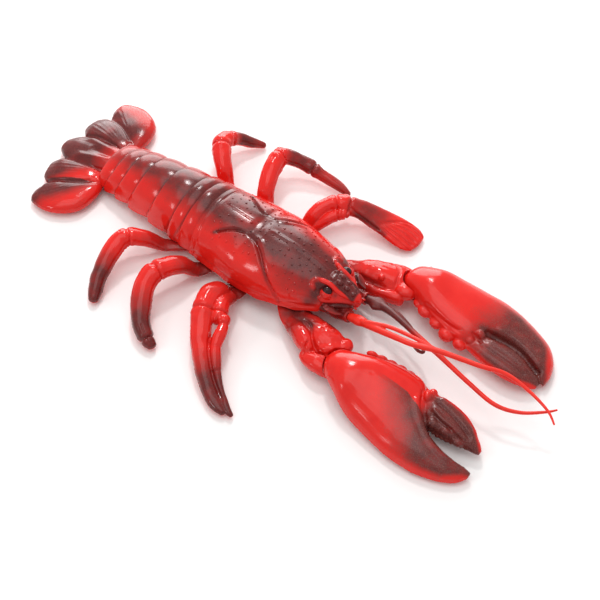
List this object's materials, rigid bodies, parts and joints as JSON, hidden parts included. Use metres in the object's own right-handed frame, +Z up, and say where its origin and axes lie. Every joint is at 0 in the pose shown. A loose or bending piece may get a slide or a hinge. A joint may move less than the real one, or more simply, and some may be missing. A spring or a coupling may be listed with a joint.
{
  "type": "toy lobster",
  "caption": "Life-size display lobster of glossy moulded plastic with swivelling claws, arms and legs and push-in whip antennae, lying flat on its belly.",
  "frame": {"origin": "centre line of the flat foot under the belly, on the surface the lobster lies on, below the widest part of the carapace", "axes": "+Z up, +Y towards the tail, -Y towards the head and claws, +X towards the lobster's left side"},
  "size_m": [0.1599, 0.3282, 0.032],
  "materials": {
    "shell_plastic": "glossy red with dark brown airbrushing along the back",
    "belly_plastic": "glossy red",
    "tail_plastic": "glossy red, dark brown towards the rear edge",
    "claw_plastic": "glossy red with dark brown fingers",
    "limb_plastic": "glossy red with dark brown tips",
    "eye_plastic": "glossy dark brown",
    "whip_bright": "bright orange-red, satin",
    "whip_dark": "dark maroon turning red"
  },
  "bodies": {
    "trunk": {"carapace_shell": "shell_plastic", "abdomen_shell": "shell_plastic", "belly_shell": "belly_plastic", "tail_fan": "tail_plastic", "head_moulding": "shell_plastic", "eye_left": "eye_plastic", "eye_right": "eye_plastic", "antenna_left": "whip_dark", "antenna_right": "whip_bright"},
    "arm_left": {"arm_left": "claw_plastic"},
    "arm_right": {"arm_right": "claw_plastic"},
    "claw_left": {"claw_left_upper": "claw_plastic", "claw_left_lower": "claw_plastic"},
    "claw_right": {"claw_right_upper": "claw_plastic", "claw_right_lower": "claw_plastic"},
    "leg_left_front": {"leg_left_front": "limb_plastic"},
    "leg_left_middle": {"leg_left_middle": "limb_plastic"},
    "leg_left_rear": {"leg_left_rear": "limb_plastic"},
    "leg_right_front": {"leg_right_front": "limb_plastic"},
    "leg_right_middle": {"leg_right_middle": "limb_plastic"},
    "leg_right_rear": {"leg_right_rear": "limb_plastic"}
  },
  "joints": [
    {"name": "shoulder_left", "type": "hinge", "parent": "trunk", "child": "arm_left", "pos_m": [0.015, -0.016, 0.0072], "axis": [0, 0, 1], "range_deg": [-2, 8]},
    {"name": "wrist_left", "type": "hinge", "parent": "arm_left", "child": "claw_left", "pos_m": [0.0345, -0.0665, 0.0105], "axis": [0, 0, 1], "range_deg": [-4, 10]},
    {"name": "shoulder_right", "type": "hinge", "parent": "trunk", "child": "arm_right", "pos_m": [-0.015, -0.016, 0.0072], "axis": [0, 0, -1], "range_deg": [-2, 8]},
    {"name": "wrist_right", "type": "hinge", "parent": "arm_right", "child": "claw_right", "pos_m": [-0.0345, -0.0665, 0.0105], "axis": [0, 0, -1], "range_deg": [-4, 10]},
    {"name": "leg_left_front_swing", "type": "hinge", "parent": "trunk", "child": "leg_left_front", "pos_m": [0.017, 0.008, 0.0056], "axis": [0, 0, 1], "range_deg": [-8, 8]},
    {"name": "leg_left_middle_swing", "type": "hinge", "parent": "trunk", "child": "leg_left_middle", "pos_m": [0.017, 0.029, 0.0056], "axis": [0, 0, 1], "range_deg": [-8, 8]},
    {"name": "leg_left_rear_swing", "type": "hinge", "parent": "trunk", "child": "leg_left_rear", "pos_m": [0.017, 0.048, 0.0056], "axis": [0, 0, 1], "range_deg": [-8, 8]},
    {"name": "leg_right_front_swing", "type": "hinge", "parent": "trunk", "child": "leg_right_front", "pos_m": [-0.017, 0.008, 0.0056], "axis": [0, 0, 1], "range_deg": [-8, 8]},
    {"name": "leg_right_middle_swing", "type": "hinge", "parent": "trunk", "child": "leg_right_middle", "pos_m": [-0.017, 0.029, 0.0056], "axis": [0, 0, 1], "range_deg": [-8, 8]},
    {"name": "leg_right_rear_swing", "type": "hinge", "parent": "trunk", "child": "leg_right_rear", "pos_m": [-0.017, 0.048, 0.0056], "axis": [0, 0, 1], "range_deg": [-8, 8]}
  ]
}
